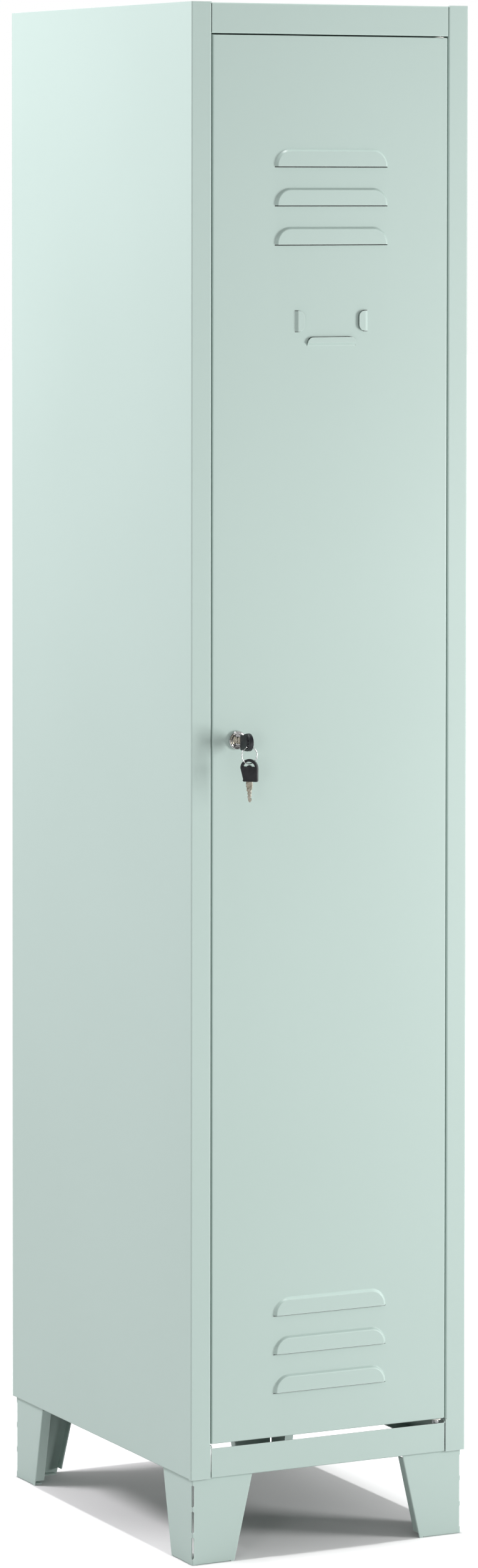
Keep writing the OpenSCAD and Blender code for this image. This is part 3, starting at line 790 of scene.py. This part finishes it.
def round_door_edges(bm):
    """Bend radius along the folds, with a rounder corner on the hinge side."""
    corners = [e for e in bm.edges if abs(e.verts[0].co.x - e.verts[1].co.x) < EPS
               and abs(e.verts[0].co.z - e.verts[1].co.z) < EPS and on_outer_rim(e)]
    right = [e for e in corners if e.verts[0].co.x > 0]
    bmesh.ops.bevel(bm, geom=right, offset=HINGE_CORNER_R, segments=4, affect="EDGES", profile=0.5, material=-1)
    front = [e for e in bm.edges if not e.is_boundary and is_front_edge(e)]
    bmesh.ops.bevel(bm, geom=front, offset=DOOR_FOLD_R, segments=3, affect="EDGES", profile=0.5, material=-1)


def is_front_edge(edge):
    """True on the outer edge of the front sheet, where it meets the folds."""
    flat = all(abs(v.co.y) < EPS for v in edge.verts)
    faces = edge.link_faces
    return flat and len(faces) == 2 and abs(faces[0].normal.dot(faces[1].normal)) < 0.5


def build_door():
    bm = door_bmesh()
    bmesh.ops.remove_doubles(bm, verts=bm.verts[:], dist=5 * EPS)
    add_piece("door", bm, PAINT, "door", ["door_panel"], sheet=SHEET, edge=FINE_EDGE)


build_door()

# ---------------------------------------------------------------- lock and keys


def spun(profile, steps=64):
    """Closed ring from a profile of (radius, y) turned about the lock's axis."""
    bm = bmesh.new()
    verts = [bm.verts.new((LOCK_X + r, y, LOCK_Z)) for r, y in profile]
    for pair in zip(verts, verts[1:] + verts[:1]):
        bm.edges.new(pair)
    bmesh.ops.spin(bm, geom=bm.verts[:] + bm.edges[:], cent=(LOCK_X, 0, LOCK_Z), axis=(0, 1, 0),
                   angle=2 * pi, steps=steps, use_merge=True)
    bmesh.ops.remove_doubles(bm, verts=bm.verts[:], dist=EPS)
    bmesh.ops.recalc_face_normals(bm, faces=bm.faces[:])
    return bm


def build_lock():
    face = lock_lo.y
    back = lock_hi.y
    rim, lip, dish, seat, bore, body = 0.0110, 0.0098, 0.0082, 0.0071, 0.0062, 0.0090
    lip_y, dish_y, seat_y = face, face + 0.0016, face + 0.0004
    profile = [
        (body, FRONT), (rim, FRONT), (rim, face + 0.0014), (rim - 0.0003, face + 0.0006), (lip + 0.0003, lip_y),
        (lip - 0.0003, face + 0.0001), (dish + 0.0006, dish_y - 0.0003), (dish - 0.0003, dish_y),
        (seat + 0.0004, dish_y - 0.0001), (seat, seat_y + 0.0003), (seat - 0.0003, seat_y),
        (bore, seat_y + 0.0001), (bore, back), (body, back),
    ]
    add_piece("lock_barrel_shell", spun(profile), CHROME, "door", ["lock_housing"], smooth=40)


HEAD_T = 0.005
HEAD_W = head_hi.z - head_lo.z
HEAD_L = head_hi.y - head_lo.y
ARCH_R = HEAD_W / 2
ARCH_UP = HEAD_L - ARCH_R
HOLE_OUT_R = ARCH_R - 0.003
HOLE_IN_R = HOLE_OUT_R - 0.004
HOLE_CHORD = 0.0016
BLADE_T = 0.0020
BLADE_HALF_W = 0.0038
BLADE_EDGE = 0.00025
GROOVE_OFF = 0.0007
GROOVE_W = 0.0010
GROOVE_TOP = 0.0005
GROOVE_T = 0.0003
GROOVE_EDGE = 0.0001
GROOVE_PROUD = 0.00002
HEAD_CORNER_R = 0.0014
HEAD_EDGE = 0.0007


def arc(radius, start, end, steps, up):
    return [Vector((radius * cos(a), up + radius * sin(a)))
            for a in (start + (end - start) * k / steps for k in range(steps + 1))]


def key_head():
    """Key head in the plane of X and Z with its flat end at z = 0, cut by a crescent hole."""
    low = rounded([(-ARCH_R, 0), (ARCH_R, 0), (ARCH_R, ARCH_UP)], (HEAD_CORNER_R, HEAD_CORNER_R, 0), 4)
    outline = low[:-1] + arc(ARCH_R, 0, pi, 28, ARCH_UP)
    outer = asin(HOLE_CHORD / HOLE_OUT_R)
    inner = asin(HOLE_CHORD / HOLE_IN_R)
    hole = arc(HOLE_OUT_R, outer, pi - outer, 18, ARCH_UP) + arc(HOLE_IN_R, pi - inner, inner, 12, ARCH_UP)
    return slab(outline, [hole], HEAD_T, HEAD_EDGE)


def slab(outline, holes, thickness, edge):
    """Flat piece of even thickness about y = 0, with rounded edges."""
    bm = blank(outline, holes)
    move(bm, y=-thickness / 2)
    made = bmesh.ops.extrude_face_region(bm, geom=bm.faces[:])["geom"]
    grown = [g for g in made if isinstance(g, bmesh.types.BMVert)]
    bmesh.ops.translate(bm, verts=grown, vec=(0, thickness, 0))
    bmesh.ops.recalc_face_normals(bm, faces=bm.faces[:])
    rims = [e for e in bm.edges if len(e.link_faces) == 2 and abs(e.verts[0].co.y - e.verts[1].co.y) < EPS
            and e.calc_face_angle() > 1.2]
    bmesh.ops.bevel(bm, geom=rims, offset=edge, segments=3, affect="EDGES", profile=0.5, material=-1)
    return bm


def key_blade(length):
    """Cut key blade that hangs from z = 0, with a shoulder, a narrowed lower half and a pointed end."""
    half = BLADE_HALF_W
    step = length / 12
    left = [(-half, 0), (-half, -3.0 * step), (-half + 0.0009, -3.5 * step), (-half + 0.0006, -5.2 * step),
            (-half + 0.0022, -6.0 * step), (-half + 0.0015, -7.0 * step), (-half + 0.0026, -7.8 * step),
            (-half + 0.0017, -8.8 * step), (-half + 0.0024, -9.8 * step), (-0.0010, -11.2 * step)]
    right = [(0.0006, -12 * step), (0.0024, -11.0 * step), (0.0029, -10.0 * step), (0.0017, -9.3 * step),
             (0.0026, -8.3 * step), (0.0020, -7.3 * step), (0.0029, -6.3 * step), (0.0023, -5.2 * step),
             (half - 0.0005, -4.2 * step), (half, -3.0 * step), (half, 0)]
    bm = slab([Vector(p) for p in left + right], [], BLADE_T, BLADE_EDGE)
    end = 10.5 * step
    corners = ((0, GROOVE_TOP), (GROOVE_W, GROOVE_TOP), (GROOVE_W, end), (0, end))
    for side in (-1, 1):
        groove = slab([Vector((-GROOVE_OFF + x, -z)) for x, z in corners], [], GROOVE_T, GROOVE_EDGE)
        move(groove, y=side * (BLADE_T / 2 + GROOVE_PROUD))
        join(bm, groove)
    return bm


def place_bmesh(bm, matrix):
    bmesh.ops.transform(bm, matrix=matrix, verts=bm.verts[:])


def build_keys():
    into_lock = Matrix.Rotation(pi / 2, 4, "Y") @ Matrix.Rotation(pi / 2, 4, "X")
    in_lock = Matrix.Translation((LOCK_X, head_hi.y, LOCK_Z)) @ into_lock
    spare_y = (spare_lo.y + spare_hi.y) / 2
    hanging = Matrix.Translation((LOCK_X, spare_y, spare_lo.z)) @ Matrix.Rotation(-pi / 4, 4, "Z")
    blade_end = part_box("key_one_blade")[1].y
    spare_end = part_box("key_two_blade")[0].z
    for name, head_node, blade_node, body, matrix, length in (
        ("key_in_lock", "key_one_head", "key_one_blade", "key", in_lock, blade_end - head_hi.y),
        ("spare_key", "key_two_head", "key_two_blade", "spare_key", hanging, spare_lo.z - spare_end),
    ):
        head = key_head()
        place_bmesh(head, matrix)
        add_piece(name + "_head", head, KEY_PLASTIC, body, [head_node], smooth=50)
        blade = key_blade(length)
        place_bmesh(blade, matrix)
        add_piece(name + "_blade", blade, KEY_METAL, body, [blade_node], smooth=30)


build_lock()
build_keys()

# ---------------------------------------------------------------- finishes of the CAD parts that stay

KEPT = {
    "leg_bolts": ZINC, "leg_nuts": ZINC, "shelf_clips": ZINC, "rail_brackets": ZINC, "hanging_rail": CHROME,
    "left_coat_hook": CHROME, "right_coat_hook": CHROME, "upper_hinge_pin": ZINC, "lower_hinge_pin": ZINC,
    "hinge_washer": NYLON, "upper_hinge_bush": NYLON, "lower_hinge_bush": NYLON, "upper_hinge_plate": ZINC,
    "lower_hinge_plate": ZINC, "door_buffers": RUBBER, "door_stiffener": PAINT, "lock_nut": ZINC,
    "lock_cam": ZINC, "cam_screw": ZINC, "lock_plug": CHROME, "key_ring": CHROME,
}
for name, material in KEPT.items():
    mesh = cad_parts[name].data
    mesh.materials.clear()
    mesh.materials.append(material)

# ---------------------------------------------------------------- floor, backdrop and light


def stage_finish():
    """White floor that throws back less light than it shows, as a floor far wider than the lights does."""
    material = bpy.data.materials.new("pale_stage")
    material.use_nodes = True
    tree = material.node_tree
    shader = tree.nodes["Principled BSDF"]
    rays = node(tree, "ShaderNodeLightPath")
    colour = mix_colour(tree, rays.outputs["Is Camera Ray"], (0.39, 0.39, 0.39), (0.93, 0.93, 0.93))
    tree.links.new(colour, shader.inputs["Base Color"])
    shader.inputs["Roughness"].default_value = 1.0
    shader.inputs["Specular IOR Level"].default_value = 0.0
    return material


STAGE = stage_finish()


def build_stage():
    """Wide pale floor."""
    bm = bmesh.new()
    bmesh.ops.create_grid(bm, x_segments=4, y_segments=4, size=40.0)
    mesh = bpy.data.meshes.new("stage")
    bm.to_mesh(mesh)
    bm.free()
    mesh.materials.append(STAGE)
    stage = bpy.data.objects.new("stage", mesh)
    scene.collection.objects.link(stage)


build_stage()


def soft_light(name, place, aim, size, power, colour=(1.0, 1.0, 1.0)):
    data = bpy.data.lights.new(name, "AREA")
    data.shape = "RECTANGLE"
    data.size, data.size_y = size
    data.energy = power
    data.color = colour
    lamp = bpy.data.objects.new(name, data)
    facing = (Vector(aim) - Vector(place)).to_track_quat("-Z", "Y")
    lamp.matrix_world = Matrix.Translation(place) @ facing.to_matrix().to_4x4()
    scene.collection.objects.link(lamp)


def sky_light(name, strength, softness):
    data = bpy.data.lights.new(name, "SUN")
    data.energy = strength
    data.angle = radians(softness)
    scene.collection.objects.link(bpy.data.objects.new(name, data))


soft_light("side_softbox", (-2.0, 0.9, 2.6), (-0.2, 0.1, 1.3), (1.0, 1.0), 59.0, (0.99, 0.96, 0.99))
soft_light("left_softbox", (-1.75, -2.1, 1.05), (0.0, -0.2, 1.0), (0.5, 0.5), 6.5)
soft_light("right_softbox", (2.3, -1.9, 0.9), (0.1, -0.2, 0.85), (0.8, 1.4), 66.0)
sky_light("overhead", 2.6, 5.0)


def build_world():
    """White surroundings: full white where seen, softer as a source of light, and darker in mirrored light."""
    world = bpy.data.worlds.new("studio")
    world.use_nodes = True
    tree = world.node_tree
    shader = tree.nodes["Background"]
    shader.inputs["Color"].default_value = (1, 1, 1, 1)
    rays = node(tree, "ShaderNodeLightPath")
    mirrored = node(tree, "ShaderNodeMapRange", Value=rays.outputs["Is Glossy Ray"], To_Min=0.44, To_Max=0.08)
    seen = node(tree, "ShaderNodeMapRange", Value=rays.outputs["Is Camera Ray"], To_Max=1.0)
    tree.links.new(mirrored.outputs["Result"], seen.inputs["To Min"])
    tree.links.new(seen.outputs["Result"], shader.inputs["Strength"])
    scene.world = world


build_world()
scene.view_settings.view_transform = "Standard"
